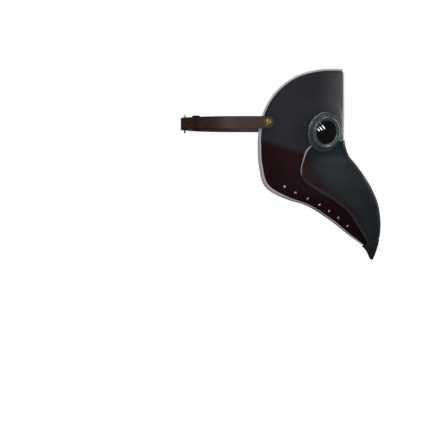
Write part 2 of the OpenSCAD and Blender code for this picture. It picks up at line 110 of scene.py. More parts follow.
floor_height = -1.6
floor_mesh = bpy.data.meshes.new("floor")
floor_mesh.from_pydata(
    [(x, y, floor_height) for x, y in ((-30, -30), (30, -30), (30, 30), (-30, 30))],
    [],
    [(0, 1, 2, 3)],
)
floor = bpy.data.objects.new("floor", floor_mesh)
bpy.context.scene.collection.objects.link(floor)
floor_paint, tree, shader = new_material("pale_matt_floor")
speck = add_node(tree, "ShaderNodeTexNoise", {"Scale": 40.0, "Detail": 4.0})
tone = add_node(
    tree,
    "ShaderNodeMapRange",
    {"Value": speck.outputs["Fac"], "To Min": 0.93, "To Max": 0.96},
)
tree.links.new(tone.outputs["Result"], shader.inputs["Base Color"])
shader.inputs["Roughness"].default_value = 0.9
shader.inputs["Emission Color"].default_value = linear("#ffffff")
shader.inputs["Emission Strength"].default_value = 1.0
floor_mesh.materials.append(floor_paint)
floor.visible_glossy = False
floor.visible_diffuse = False


def soft_light(name, direction, distance, long_axis, size, watts):
    """A rectangular lamp that faces the goggles from a direction, its length along an axis."""
    lamp = bpy.data.lights.new(name, "AREA")
    lamp.shape = "RECTANGLE"
    lamp.size, lamp.size_y = size
    lamp.energy = watts
    lamp_object = bpy.data.objects.new(name, lamp)
    bpy.context.scene.collection.objects.link(lamp_object)
    back = Vector(direction).normalized()
    along = Vector(long_axis)
    along = (along - along.dot(back) * back).normalized()
    side = along.cross(back)
    turn = Matrix((side, along, back)).transposed().to_4x4()
    lamp_object.matrix_world = Matrix.Translation(Vector((0.03, 0, 0)) + back * distance) @ turn


soft_light("ahead_light", (0.62, -0.3, 0.78), 2.4, (0, 1, 0), (1.2, 1.2), 22)
soft_light("behind_light", (0.8, 0.95, 0.2), 2.6, (0, 0, 1), (1.6, 1.8), 26)
soft_light("side_light", (-0.27, -0.78, 0.42), 2.4, (0.33, 0.25, 0.9), (0.3, 1.9), 20)
soft_light("low_light", (-0.2, -0.75, -0.5), 2.0, (1, 0, 0), (1.4, 0.3), 7)
for number, (direction, long_axis, size) in enumerate(
    [
        ((0.507, -0.861, -0.038), (0.55, 0.36, -0.75), (0.13, 0.33)),
        ((0.626, -0.779, 0.046), (0.54, 0.4, -0.73), (0.135, 0.5)),
        ((0.752, -0.645, 0.138), (0.52, 0.46, -0.72), (0.14, 0.58)),
    ]
):
    soft_light(f"window_pane_{number}", direction, 2.2, long_axis, size, 56 * size[0] * size[1])

# ---------------------------------------------------------------- face panels
# Two halves of 2 mm vegetable-tanned leather, wet-moulded over a form and joined down the
# forehead. They are painted slate grey above and oxblood below, and lined with cotton.
panel_thickness = 2.0  # in mm, like every size here except where metres are named
panel_face = -2.3  # height of the painted side over the form; the beak shell lies on it
socket_hole = 25.5  # radius

# Stations of the form from the top of the forehead to the tip of the beak, in mm: ridge x
# and z, back edge x and z, half width, fullness, radius of the ridge.
stations = np.array(
    [
        [61, 100, -78, 100, 84, 1.38, 8],
        [61.2, 60, -79, 60, 85, 1.36, 8],
        [61.2, 20, -80, 18, 86, 1.35, 8],
        [61, -16, -80, -22, 86, 1.38, 8],
        [67.5, -40, -78, -60, 83, 1.5, 8],
        [80.5, -57, -69, -93, 77, 1.7, 9],
        [95, -77, -33, -113, 69, 1.9, 10],
        [107.5, -99, 3, -126, 57, 2.05, 10],
        [116.8, -124, 40, -150, 42, 2.15, 9],
        [120.2, -153, 69, -173, 28, 2.2, 7],
        [117.3, -183, 96, -193, 14, 2.25, 5],
        [108.4, -211.6, 105.4, -211.6, 3, 2.3, 2],
    ]
)


def curve(rows, x):
    """Catmull-Rom curve through the rows; x counts rows, ends are reflected."""
    x = np.asarray(x, float)
    last = len(rows) - 1
    i = np.clip(np.floor(x).astype(int), 0, last - 1)
    f = (x - i)[..., None]
    b, c = rows[i], rows[i + 1]
    a = np.where((i == 0)[..., None], 2 * rows[0] - rows[1], rows[np.maximum(i - 1, 0)])
    d = np.where(
        (i == last - 1)[..., None], 2 * rows[last] - rows[last - 1], rows[np.minimum(i + 2, last)]
    )
    return 0.5 * (
        2 * b + (c - a) * f + (2 * a - 5 * b + 4 * c - d) * f**2 + (3 * b - a - 3 * c + d) * f**3
    )


def ease(x):
    """Smooth step from 0 to 1."""
    x = np.clip(x, 0, 1)
    return x * x * (3 - 2 * x)


def bare_form(t, q):
    """Left half of the moulding form: a section swells from the ridge at q 0 to the half
    width at q 1 as a power curve, and the ridge is rounded by its radius."""
    t, q = np.broadcast_arrays(np.asarray(t, float), np.asarray(q, float))
    rx, rz, ex, ez, width, full, radius = np.moveaxis(curve(stations, t), -1, 0)
    c = radius * np.hypot(ex - rx, ez - rz) / (full * width) ** 2
    s = np.sqrt((1 + 2 * c) * q * q + c * c) - c
    y = full * q - (full - 1) * np.abs(q) ** (full / (full - 1)) - 0.04 * q**3
    return np.stack([rx + (ex - rx) * s, width * y, rz + (ez - rz) * s], -1)


# Where the left goggle's axis meets the form, and its direction. The leather is flat out to
# the seat's radius and back on the form at the fade's.
seat_point = bare_form(2.59, 0.286)
seat_axis = np.array([0.53, 0.835, -0.12])
seat_axis /= np.linalg.norm(seat_axis)
seat_radius = 35
seat_fade_radius = 64
seam_gap = 0.3  # between the left and the right half
mm = 0.001  # in metres


def form(t, q):
    """The form with a flat round seat for each goggle that fades out around it."""
    p = bare_form(t, q)
    off = p - seat_point
    depth = off @ seat_axis
    far = np.linalg.norm(off - depth[..., None] * seat_axis, axis=-1)
    flat = ease((seat_fade_radius - far) / (seat_fade_radius - seat_radius))
    flat *= ease(np.asarray(q) / 0.12)
    return p - seat_axis * (depth * flat)[..., None]


def normal(t, q):
    """Outward unit normal of the form by finite differences."""
    t, q = np.broadcast_arrays(np.asarray(t, float), np.asarray(q, float))
    e = 0.002
    n = np.cross(form(t + e, q) - form(t - e, q), form(t, q + e) - form(t, np.maximum(q - e, 0)))
    return n / np.linalg.norm(n, axis=-1, keepdims=True)


def skin(t, q, h):
    """Points at height h in mm above the form, half a seam's gap out from the centre."""
    return form(t, q) + np.asarray(h, float)[..., None] * normal(t, q) + [0, seam_gap / 2, 0]


def make_piece(name, grids, material, side=1, around=False, ends=False, cut=None, marks=None):
    """Meshes one or more equal grids of points in mm as quads; around closes the second
    parameter into a ring, ends caps both ends, cut drops faces, side -1 mirrors it."""
    grids = np.asarray(grids, float)
    if grids.ndim == 3:
        grids = grids[None]
    count, rows, cols, _ = grids.shape
    place = np.arange(count * rows * cols).reshape(count, rows, cols)
    wide = place if not around else np.concatenate([place, place[:, :, :1]], 2)
    quads = np.stack([wide[:, :-1, :-1], wide[:, 1:, :-1], wide[:, 1:, 1:], wide[:, :-1, 1:]], -1)
    if cut is not None:
        quads = quads[:, ~cut]
    quads = quads.reshape(-1, 4)
    caps = [row[::-1] for row in place[:, -1]] + list(place[:, 0]) if ends else []
    if side < 0:
        quads = quads[:, ::-1]
        caps = [cap[::-1] for cap in caps]
    mesh = bpy.data.meshes.new(name)
    points = grids.reshape(-1, 3) * [mm, side * mm, mm]
    mesh.from_pydata(points.tolist(), [], quads.tolist() + [cap.tolist() for cap in caps])
    for mark, values in (marks or {}).items():
        kind, field = ("FLOAT_COLOR", "color") if values.shape[-1] == 4 else ("FLOAT", "value")
        layer = mesh.attributes.new(mark, kind, "POINT")
        layer.data.foreach_set(field, values.ravel().astype(np.float32))
    mesh.shade_smooth()
    for one in material if isinstance(material, list) else [material]:
        mesh.materials.append(one)
    piece = bpy.data.objects.new(name, mesh)
    bpy.context.scene.collection.objects.link(piece)
    return piece


def finish_sheet(piece, thickness, edge, lining=0):
    """Gives a sheet its thickness inwards and a rounded edge, both in mm."""
    solid = piece.modifiers.new("leather", "SOLIDIFY")
    solid.thickness = thickness * mm
    solid.offset = -1.0
    solid.material_offset = lining
    rim = piece.modifiers.new("edge", "BEVEL")
    rim.width = edge * mm
    rim.segments = 3
    rim.limit_method = "ANGLE"
    rim.angle_limit = np.radians(50)


def leather(name, ground, wear_and_edge_highlight, grain_mm, rough, bump=0.3, shine=0.2, rub=0.09):
    """Painted leather: the ground is a colour or, if None, the piece's own paint mark. The
    second colour shows as rubbed wear in slow blotches, and as a painted highlight where the
    rim mark is high; pores a grain apart are raised and a little darker between. To the eye
    it is a soft sheen, broken up by the grain, and never a mirror."""
    material, tree, shader = new_material(name)
    where = add_node(tree, "ShaderNodeTexCoord").outputs["Object"]
    blotch = add_node(tree, "ShaderNodeTexNoise", {"Vector": where, "Scale": 45.0, "Detail": 5.0})
    grain = add_node(
        tree,
        "ShaderNodeTexVoronoi",
        {"Vector": where, "Scale": 1000.0 / grain_mm},
        feature="SMOOTH_F1",
    )
    fibre = add_node(
        tree, "ShaderNodeTexNoise", {"Vector": where, "Scale": 2600.0 / grain_mm, "Detail": 2.0}
    )
    rubs = add_node(
        tree,
        "ShaderNodeMapRange",
        {"Value": blotch.outputs["Fac"], "From Min": 0.45, "From Max": 0.85, "To Max": rub},
    )
    if ground is None:
        base = add_node(tree, "ShaderNodeAttribute", attribute_name="paint").outputs["Color"]
    else:
        base = add_node(tree, "ShaderNodeRGB").outputs[0]
        base.default_value = linear(ground)
    rubbed = add_node(
        tree,
        "ShaderNodeMix",
        {0: rubs.outputs["Result"], 6: base, 7: linear(wear_and_edge_highlight)},
        data_type="RGBA",
    )
    rim = add_node(tree, "ShaderNodeAttribute", attribute_name="rim")
    edged = add_node(
        tree,
        "ShaderNodeMix",
        {0: rim.outputs["Fac"], 6: rubbed.outputs[2], 7: linear(wear_and_edge_highlight)},
        data_type="RGBA",
    )
    pit = add_node(
        tree,
        "ShaderNodeMapRange",
        {"Value": grain.outputs["Distance"], "From Min": 0.3, "From Max": 0.75, "To Max": 0.35},
    )
    colour = add_node(
        tree,
        "ShaderNodeMix",
        {0: pit.outputs["Result"], 6: edged.outputs[2], 7: linear("#050505")},
        data_type="RGBA",
    )
    tree.links.new(colour.outputs[2], shader.inputs["Base Color"])
    shader.inputs["Specular IOR Level"].default_value = shine
    gloss = add_node(
        tree,
        "ShaderNodeMapRange",
        {"Value": blotch.outputs["Fac"], "To Min": rough - 0.07, "To Max": rough + 0.09},
    )
    tree.links.new(gloss.outputs["Result"], shader.inputs["Roughness"])
    relief = add_node(
        tree,
        "ShaderNodeMath",
        {0: fibre.outputs["Fac"], 1: 0.35, 2: grain.outputs["Distance"]},
        operation="MULTIPLY_ADD",
    )
    raised = add_node(
        tree,
        "ShaderNodeBump",
        {"Height": relief.outputs["Value"], "Strength": bump, "Distance": 0.00022},
        invert=True,
    )
    tree.links.new(raised.outputs["Normal"], shader.inputs["Normal"])
    return material


# Woven cotton lining glued to the flesh side: a plain weave of unbleached thread, dull and
# warm grey. Its ribs are drawn about 2.5 mm apart, coarser than real, so that they show.
rib_scale = 130.0
cotton, tree, shader = new_material("woven_cotton_lining")
where = add_node(tree, "ShaderNodeTexCoord").outputs["Object"]
warp = add_node(
    tree,
    "ShaderNodeTexWave",
    {"Vector": where, "Scale": rib_scale, "Distortion": 0.8},
    bands_direction="Z",
)
weft = add_node(
    tree,
    "ShaderNodeTexWave",
    {"Vector": where, "Scale": rib_scale, "Distortion": 0.8},
    bands_direction="DIAGONAL",
)
weave = add_node(
    tree,
    "ShaderNodeMath",
    {0: warp.outputs["Fac"], 1: weft.outputs["Fac"]},
    operation="MULTIPLY",
)
thread = add_node(
    tree,
    "ShaderNodeMix",
    {0: weave.outputs["Value"], 6: linear("#544d45"), 7: linear("#625b51")},
    data_type="RGBA",
)
tree.links.new(thread.outputs[2], shader.inputs["Base Color"])
raised = add_node(
    tree,
    "ShaderNodeBump",
    {"Height": weave.outputs["Value"], "Strength": 0.4, "Distance": 0.0002},
)
tree.links.new(raised.outputs["Normal"], shader.inputs["Normal"])
shader.inputs["Roughness"].default_value = 0.9
shader.inputs["Sheen Weight"].default_value = 0.2

# Pigment paint on the grain side: almost matt, so that the oxblood stays deep. The pale
# sheen where the forehead turns to the light is painted into the paint mark.
panel_leather = leather("oxblood_and_slate_painted_leather", None, "#2b1a1e", 1.3, 0.5, shine=0.07)

# Inner and outer boundary of a panel as station and q, from the forehead to the beak's end.
panel_inner = np.array(
    [
        [3.75, 0], [3.75, 0.07], [3.75, 0.14], [3.75, 0.21], [3.78, 0.28], [3.85, 0.35],
        [4, 0.42], [4.3, 0.475], [4.7, 0.53], [5.25, 0.57], [5.95, 0.585], [6.8, 0.58],
        [7.8, 0.57], [8.8, 0.58], [9.5, 0.61], [10, 0.68],
    ]
)
panel_outer = np.array(
    [
        [0.05, 0], [0.05, 0.16], [0.12, 0.36], [0.42, 0.6], [1, 0.8], [1.75, 0.93],
        [2.6, 0.975], [3.6, 0.98], [4.5, 0.973], [5.15, 0.966], [5.9, 0.972], [6.8, 0.971],
        [7.8, 0.967], [8.8, 0.962], [9.5, 0.955], [10, 0.975],
    ]
)


def blend_paint(low, high, amount):
    """Linear mix of two colours by an array of amounts."""
    amount = np.clip(amount, 0, 1)[..., None]
    return low * (1 - amount) + high * amount


def seat_distance(points):
    """Distance in mm from the axis of the goggle."""
    off = points - seat_point
    depth = off @ seat_axis
    return np.where(
        np.abs(depth) < 25, np.linalg.norm(off - depth[..., None] * seat_axis, axis=-1), 999
    )


def faces_within(points, radius):
    """Which faces of a grid have their centre within a radius of the goggle's axis."""
    centre = (points[:-1, :-1] + points[1:, :-1] + points[1:, 1:] + points[:-1, 1:]) / 4
    return seat_distance(centre) < radius


def hand_moulded(t, q, depth):
    """Slow unevenness of wet leather pressed by hand: crossed sines of the given depth."""
    return depth * np.sin(2.3 * t + 4 * q) * np.sin(9 * q + 0.7 * t)


last_row = len(panel_outer) - 1
across, down = np.meshgrid(np.linspace(0, last_row, 250), np.linspace(0, 1, 84), indexing="ij")
inner, outer = curve(panel_inner, across), curve(panel_outer, across)
t, q = np.moveaxis(inner + (outer - inner) * down[..., None], -1, 0)
q = np.maximum(q, 0)
panel = skin(t, q, panel_face + hand_moulded(t, q, 0.22))
slate, sheen_painted_slate, oxblood, dark_oxblood = (
    np.array(linear(code)) for code in ("#24262b", "#505350", "#1c0308", "#100204")
)
# Paler towards the crease of the forehead as a painted sheen, oxblood below a sloping line on
# the cheek, and darker along the beak; the cut edge is lighter over the last 2.5 mm, rubbed
# wear with a painted highlight.
forward, height = panel[..., 0], panel[..., 2]
# Painted sheen: lighter slate towards the forehead's crease.
painted_sheen = np.clip((forward - 8) / 52, 0, 1) ** 2.2 * ease((height + 30) / 26)
below = ease((-height - 29 - 0.3 * (forward + 12)) / 15)
paint = blend_paint(slate, sheen_painted_slate, painted_sheen)
paint = blend_paint(paint, oxblood, below)
paint = blend_paint(paint, dark_oxblood, ease((forward - 10) / 60) * below * 0.7)
# Painted highlight with rubbed wear: the rim mark lightens the cut edge of the panel.
rim = np.clip(1 - (1 - down) * 80 / 2.5, 0, 1) * 0.7
for side, word in ((1, "left"), (-1, "right")):
    piece = make_piece(
        f"leather_face_panel_{word}",
        panel,
        [panel_leather, cotton],
        side=side,
        cut=faces_within(panel, socket_hole),
        marks={"paint": paint, "rim": rim},
    )
    finish_sheet(piece, panel_thickness, 0.5, lining=1)
    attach(piece, "mask")
    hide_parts(f"face_panel_{word}")

# ---------------------------------------------------------------- beak shell
# A second layer of 2 mm leather over the nose and the upper beak, cut in two halves, glued
# down and stitched along its rear and lower edge. Slate grey paint, with a pale line painted along
# the edges as a highlight.
shell_thickness = 2.0
flange_hole = 31.5  # radius; the goggle's flange covers its edge
# The same paint over a smoother skin: a little glossier than the panels. The crisp pale
# line along the rear edge is a painted highlight.
shell_leather = leather("slate_painted_leather", None, "#b9bfc1", 1.3, 0.46, shine=0.11, rub=0.009)
# q of the lower seam at even steps down the beak
shell_seam = np.array([[0.6, 0.635, 0.645, 0.645, 0.633, 0.626, 0.645, 0.672, 0.75]]).T


def shell_place(u, v):
    """Station and q on the shell; u runs down the beak, v from the ridge to the seam. The
    top edge starts level at the ridge and sweeps down to the rear corner."""
    ridge, seam = 2.95 + 6.98 * u, 4.5 + 5.43 * u
    bend = 1 + 3.4 * np.maximum(1 - u, 0) ** 3
    return ridge + (seam - ridge) * v**bend, v * curve(shell_seam, (len(shell_seam) - 1) * u)[..., 0]


u, v = np.meshgrid(np.linspace(0, 1, 200), np.linspace(0, 1, 76), indexing="ij")
t, q = shell_place(u, v)
shell = skin(t, q, hand_moulded(t, q, 0.2))
long_way = np.linalg.norm(np.diff(shell, axis=0), axis=-1).sum(0)
wide_way = np.linalg.norm(np.diff(shell, axis=1), axis=-1).sum(1)
to_edge = np.minimum((1 - v) * wide_way[:, None], u * long_way[None, :])
blue_slate, dark_slate, oxblood, black = (
    np.array(linear(code)) for code in ("#172127", "#171b20", "#180207", "#090b0c")
)
# Darker down the beak, with painted shade darkening it along the ridge, and the oxblood bled
# up over the lower seam; the pale edge over about 1.5 mm, most at the rear and least at the
# ridge, is a painted highlight.
paint = blend_paint(blue_slate, dark_slate, ease(u * 1.1 - 0.05))
bleed = ease((v - 0.56 - 0.16 * u) / 0.3) * ease((u + 0.15) / 0.2) * ease(1.4 - u)
paint = blend_paint(paint, oxblood, 0.95 * bleed)
# Painted shade: the black band along the ridge of the beak.
paint = blend_paint(paint, black, 0.8 * ease(1 - v / 0.22) * ease(u / 0.12))
# Painted highlight: the rim mark draws the pale line along the rear and lower edge of the shell.
rim = np.clip(1.2 - to_edge / 1.4, 0, 1)
rim *= (0.1 + 0.9 * ease(1.2 - 14 * u)) * (0.45 + 0.55 * ease(v / 0.35))
for side, word in ((1, "left"), (-1, "right")):
    piece = make_piece(
        f"leather_beak_shell_{word}",
        shell,
        shell_leather,
        side=side,
        cut=faces_within(shell, flange_hole),
        marks={"paint": paint, "rim": rim},
    )
    finish_sheet(piece, shell_thickness, 0.6)
    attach(piece, "mask")
    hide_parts(f"beak_shell_{word}")

# ---------------------------------------------------------------- stitches
# A single row of waxed linen thread 3 mm inside the rear and lower edge of the shell, 4 mm
# stitches set into the leather with a small gap between two.
stitch_length = 3.9
stitch_pitch = 5.2
thread_radius = 0.42
stitch_clearance = 34.5  # no stitch comes closer to the axis of the goggle
linen, tree, shader = new_material("waxed_linen_thread")
where = add_node(tree, "ShaderNodeTexCoord").outputs["Object"]
strand = add_node(tree, "ShaderNodeTexNoise", {"Vector": where, "Scale": 1800.0, "Detail": 2.0})
dye = add_node(
    tree,
    "ShaderNodeMix",
    {0: strand.outputs["Fac"], 6: linear("#2b2a26"), 7: linear("#5a574c")},
    data_type="RGBA",
)
tree.links.new(dye.outputs[2], shader.inputs["Base Color"])
raised = add_node(
    tree,
    "ShaderNodeBump",
    {"Height": strand.outputs["Fac"], "Strength": 0.5, "Distance": 0.0001},
)
tree.links.new(raised.outputs["Normal"], shader.inputs["Normal"])
shader.inputs["Roughness"].default_value = 0.6  # wax keeps the thread dull and close


def stitches(path, up, length, pitch, radius):
    """A row of stitches along a dense path: each is a short arch of thread, highest in the
    middle, with both ends sunk in the leather."""
    way = np.concatenate([[0], np.cumsum(np.linalg.norm(np.diff(path, axis=0), axis=1))])
    starts = np.arange(pitch / 2, way[-1] - length, pitch)
    k = np.linspace(0, 1, 7)
    at = starts[:, None] + length * k
    point = np.stack([np.interp(at, way, path[:, i]) for i in range(3)], -1)
    rise = np.stack([np.interp(at, way, up[:, i]) for i in range(3)], -1)
    rise /= np.linalg.norm(rise, axis=-1, keepdims=True)
    ahead = np.gradient(point, axis=1)
    ahead /= np.linalg.norm(ahead, axis=-1, keepdims=True)
    side = np.cross(ahead, rise)
    a = np.linspace(0, 2 * np.pi, 7)[:-1]
    thick = radius * (0.55 + 0.45 * np.sin(np.pi * k))[None, :, None, None]
    arch = (radius * (1.1 * np.sin(np.pi * k) - 0.5))[None, :, None, None]
    ring = np.cos(a)[:, None] * side[:, :, None] + np.sin(a)[:, None] * rise[:, :, None]
    return point[:, :, None] + arch * rise[:, :, None] + thick * ring


# down the rear edge at a fixed u, then along the seam at a v that drops towards the tip
rear_u, corner_v = 0.018, 0.955
rear_v = np.linspace(0.42, corner_v, 120)
seam_u = np.linspace(rear_u, 0.985, 400)
path_u = np.concatenate([np.full(120, rear_u), seam_u])
path_v = np.concatenate([rear_v, corner_v - 0.085 * seam_u**3])
t, q = shell_place(path_u, path_v)
row, up = skin(t, q, 0.0 * t), normal(t, q)
keep = seat_distance(row) > stitch_clearance
for side, word in ((1, "left"), (-1, "right")):
    piece = make_piece(
        f"shell_stitches_{word}",
        stitches(row[keep], up[keep], stitch_length, stitch_pitch, thread_radius),
        linen,
        side=side,
        around=True,
        ends=True,
    )
    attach(piece, "mask")

# ---------------------------------------------------------------- beak tip
# A cap of hardened leather moulded over a plug, closed at the point, pushed over the end of
# the shells and panels like a toe cap and glued.
# Boiled in wax and buffed: denser and a touch glossier than the painted leather.
tip_leather = leather("hardened_black_leather", "#1b1d21", "#3a3c41", 1.3, 0.42)


def beak_ring(t, h):
    """One ring round the beak at height h: down the left side, across, up the right side."""
    rx, rz, ex, ez = np.moveaxis(curve(stations, t), -1, 0)[:4]
    low = 1 + h / np.hypot(ex - rx, ez - rz)
    down = np.linspace(0, 1, 25) * low
    left = form(t, down) + h * normal(np.full(25, t), down)
    return np.concatenate([left, (left * [1, -1, 1])[-1:0:-1]])


# station and height of the cap's section, from the plug inside, round the mouth, to the point
tip_section = np.array(
    [
        [10.8, -1.4], [10.45, -1.8], [10.06, -2], [10.04, 0.2], [9.92, 0.2], [9.83, 0.22],
        [9.8, 0.4], [9.8, 0.8], [9.83, 1.08], [9.95, 1.18], [10.1, 1.2], [10.35, 1.2],
        [10.6, 1.1], [10.85, 0.85], [10.98, 0.5], [11.02, 0.1], [11.03, -0.6],
    ]
)
tip_rows = curve(tip_section, np.linspace(0, len(tip_section) - 1, 97))
piece = make_piece(
    "hardened_beak_tip",
    np.stack([beak_ring(t, height) for t, height in tip_rows]),
    tip_leather,
    around=True,
    ends=True,
)
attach(piece, "mask")
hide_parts("beak_tip")

# ---------------------------------------------------------------- underside gusset
# A strip of 1.5 mm split leather that closes the beak from below. Its two edges are turned
# up inside the panels and riveted; its rear end is scalloped to clear the throat.
gusset_thickness = 1.5
gusset_depth = 4.6  # below the form
gusset_top_q, gusset_low_q = 0.78, 0.94
gusset_rear, gusset_length = 5.05, 4.93  # in stations
scallop = 1.3
# The split side has no grain of its own: rough, fibrous and almost without sheen.
gusset_leather = leather("black_split_leather", "#100c0d", "#2a2526", 1.6, 0.62, 0.5)


def gusset_edge(t, rise):
    """The turned-up flange inside a panel: rise runs from its top at 0 to its foot at 1."""
    q = gusset_top_q + (gusset_low_q - gusset_top_q) * rise
    return form(t, q) - gusset_depth * normal(t, q)


f, k = np.meshgrid(np.linspace(0, 1, 110), np.linspace(0, 1, 12), indexing="ij")
left = gusset_edge(gusset_rear + gusset_length * f, k)
f, k = np.meshgrid(np.linspace(0, 1, 110), np.linspace(0, 1, 42)[1:-1], indexing="ij")
forward = scallop * (1 - f) ** 2 * (1 - (2 * k - 1) ** 2)
middle = gusset_edge(gusset_rear + gusset_length * f + forward, np.ones_like(k))
middle[..., 1] = left[:, -1:, 1] * (1 - 2 * k)
gusset = np.concatenate([left, middle, (left * [1, -1, 1])[:, ::-1]], 1)
piece = make_piece("underside_gusset", gusset, gusset_leather)
finish_sheet(piece, gusset_thickness, 0.4)
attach(piece, "mask")
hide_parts("beak_underside")

# ---------------------------------------------------------------- welts
# Half-round strips of thin leather glued over the two centre seams: pale grey down the
# forehead, black along the ridge of the beak.
# Thin skived leather stretched smooth: it catches a narrow line of light along its crown. The
# pale grey of the forehead strip is a painted highlight along the crease.
crease_leather = leather("painted_highlight_grey_leather_strip", "#bcbebe", "#cdcfce", 1.0, 0.42, 0.2)
ridge_leather = leather("black_leather_strip", "#0e1012", "#2c2f33", 1.0, 0.42, 0.2)


def welt(start, stop, height, half_width, rise, steps):
    """A half ellipse carried down the ridge of the form between two stations; its rise
    tapers off at both ends."""
    t = np.linspace(start, stop, steps)[:, None]
    a = np.linspace(np.pi, 0, 15)[None, :]
    taper = np.minimum(1, np.minimum(t - start, stop - t) / 0.02 + 0.5)
    base, up = form(t, 0 * a), normal(t, 0 * a)
    points = base + (height + taper * rise * np.sin(a))[..., None] * up
    points[..., 1] += half_width * np.cos(a)
    return points


crease = welt(0.08, 2.94, panel_face + 0.1, 2.1, 2.4, 160)
ridge = welt(2.96, 9.76, 0.1, 2.2, 1.0, 260)
for name, node, strip, material, slot in (
    ("forehead_crease_welt", "crease_welt", crease, crease_leather, "crease_leather"),
    ("beak_ridge_welt", "beak_welt", ridge, ridge_leather, "ridge_leather"),
):
    piece = make_piece(name, strip, material, around=True, ends=True)
    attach(piece, "mask")
    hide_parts(node)

# ---------------------------------------------------------------- edge piping
# A cord wrapped in lilac-grey leather, sewn round the free edge of both panels; it thins
# out along the beak.
piping_radius = 1.7
# Thin glove leather stretched over the cord, smooth and pale: its lilac-grey is partly its own
# colour and partly a painted highlight, so it outlines the mask.
piping_leather = leather("lilac_grey_piping_with_painted_highlight", "#aaa4b0", "#c6c1cd", 0.9, 0.4, 0.2)


def panel_edge(x):
    """Middle of the outer edge of a face panel; x counts the boundary's rows."""
    t, q = np.moveaxis(curve(panel_outer, x), -1, 0)
    return skin(t, np.maximum(q, 0), np.full_like(t, panel_face - panel_thickness / 2))


x = np.linspace(0.12, 14.45, 420)
t, q = np.moveaxis(curve(panel_outer, x), -1, 0)
up = normal(t, np.maximum(q, 0))
along = panel_edge(x + 0.02) - panel_edge(x - 0.02)
along /= np.linalg.norm(along, axis=-1, keepdims=True)
out = np.cross(up, along)
out /= np.linalg.norm(out, axis=-1, keepdims=True)
radius = (piping_radius * (1 - 0.5 * ease((x - 8.8) / 2.4)))[:, None]
centre = panel_edge(x) + out * (radius + 0.1)
a = np.linspace(0, 2 * np.pi, 17)[:-1]
wrap_dents = 1 + 0.02 * np.sin(x * 95)[:, None, None]
piping = centre[:, None] + (radius[:, None] * wrap_dents) * (
    np.cos(a)[:, None] * out[:, None] - np.sin(a)[:, None] * up[:, None]
)
for side, word in ((1, "left"), (-1, "right")):
    piece = make_piece(
        f"leather_edge_piping_{word}",
        piping,
        piping_leather,
        side=side,
        around=True,
        ends=True,
    )
    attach(piece, "mask")
    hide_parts(f"edge_piping_{word}")

# ---------------------------------------------------------------- beak rivets
# Seven tubular rivets a side, pressed steel with nickel plate, domed and lightly tarnished.
# Plain steel washers back them inside.
def metal(name, pale, dark, rough, scratch_mm):
    """Plated or polished metal: tarnish gathers in blotches, and fine scratches vary the
    gloss and the surface."""
    material, tree, shader = new_material(name)
    where = add_node(tree, "ShaderNodeTexCoord").outputs["Object"]
    blotch = add_node(tree, "ShaderNodeTexNoise", {"Vector": where, "Scale": 160.0, "Detail": 6.0})
    scratch = add_node(
        tree, "ShaderNodeTexNoise", {"Vector": where, "Scale": 1000.0 / scratch_mm, "Detail": 3.0}
    )
    colour = add_node(
        tree,
        "ShaderNodeMix",
        {0: blotch.outputs["Fac"], 6: linear(pale), 7: linear(dark)},
        data_type="RGBA",
    )
    gloss = add_node(
        tree,
        "ShaderNodeMapRange",
        {"Value": blotch.outputs["Fac"], "To Min": rough - 0.08, "To Max": rough + 0.14},
    )
    raised = add_node(
        tree,
        "ShaderNodeBump",
        {"Height": scratch.outputs["Fac"], "Strength": 0.12, "Distance": 0.0001},
    )
    tree.links.new(colour.outputs[2], shader.inputs["Base Color"])
    tree.links.new(gloss.outputs["Result"], shader.inputs["Roughness"])
    tree.links.new(raised.outputs["Normal"], shader.inputs["Normal"])
    shader.inputs["Metallic"].default_value = 1.0
    return material


def refinish(node, material):
    """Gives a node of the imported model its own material."""
    nodes[node].data.materials.clear()
    nodes[node].data.materials.append(material)


# Warm white metal that mirrors the lights as small soft spots; the washers are duller.
nickel = metal("nickel_plated_steel", "#cfc9c9", "#8a8280", 0.32, 0.3)
raw_steel = metal("plain_steel", "#9a9a98", "#5c5a57", 0.45, 0.4)


def turned(profile, segments):
    """A profile of radius and height turned about its axis, as a grid of local points."""
    a = np.linspace(0, 2 * np.pi, segments + 1)[:-1]
    r, z = np.asarray(profile, float).T
    return np.stack([r[:, None] * np.cos(a), r[:, None] * np.sin(a), z[:, None] + 0 * a], -1)


def stood_on(local, base, up):
    """Stands a grid of local points on each base point with its axis along up."""
    side = np.cross(up, [0.0, 1.0, 0.3])
    side /= np.linalg.norm(side, axis=-1, keepdims=True)
    third = np.cross(up, side)
    basis = np.stack([side, third, up], -2)
    return base[:, None, None] + np.einsum("ijk,nkl->nijl", local, basis)


rivet_t = np.array([5.27, 5.77, 6.42, 7.05, 7.5, 7.95, 8.5])
rivet_q = np.array([0.855, 0.852, 0.862, 0.872, 0.868, 0.856, 0.853])
pole = 0.05  # radius of the small disc that closes a turned shape
cap_radius, cap_height = 2.3, 1.15
shank = [[1.4, -0.2], [1.4, -4.8], [pole, -4.8]]
a = np.linspace(np.pi / 2, 0, 9)
cap = np.stack([np.maximum(cap_radius * np.cos(a), pole), 0.25 + cap_height * np.sin(a)], -1)
rivet_profile = np.concatenate([cap, [[2.35, 0.1], [2.2, -0.15]], shank])
base = skin(rivet_t, rivet_q, np.full_like(rivet_t, panel_face))
up = normal(rivet_t, rivet_q)
for side, word in ((1, "left"), (-1, "right")):
    piece = make_piece(
        f"domed_rivets_{word}",
        stood_on(turned(rivet_profile, 24), base, up),
        nickel,
        side=side,
        around=True,
        ends=True,
    )
    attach(piece, "mask")
    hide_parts(f"beak_rivets_{word}")
    refinish(f"rivet_washers_{word}", raw_steel)

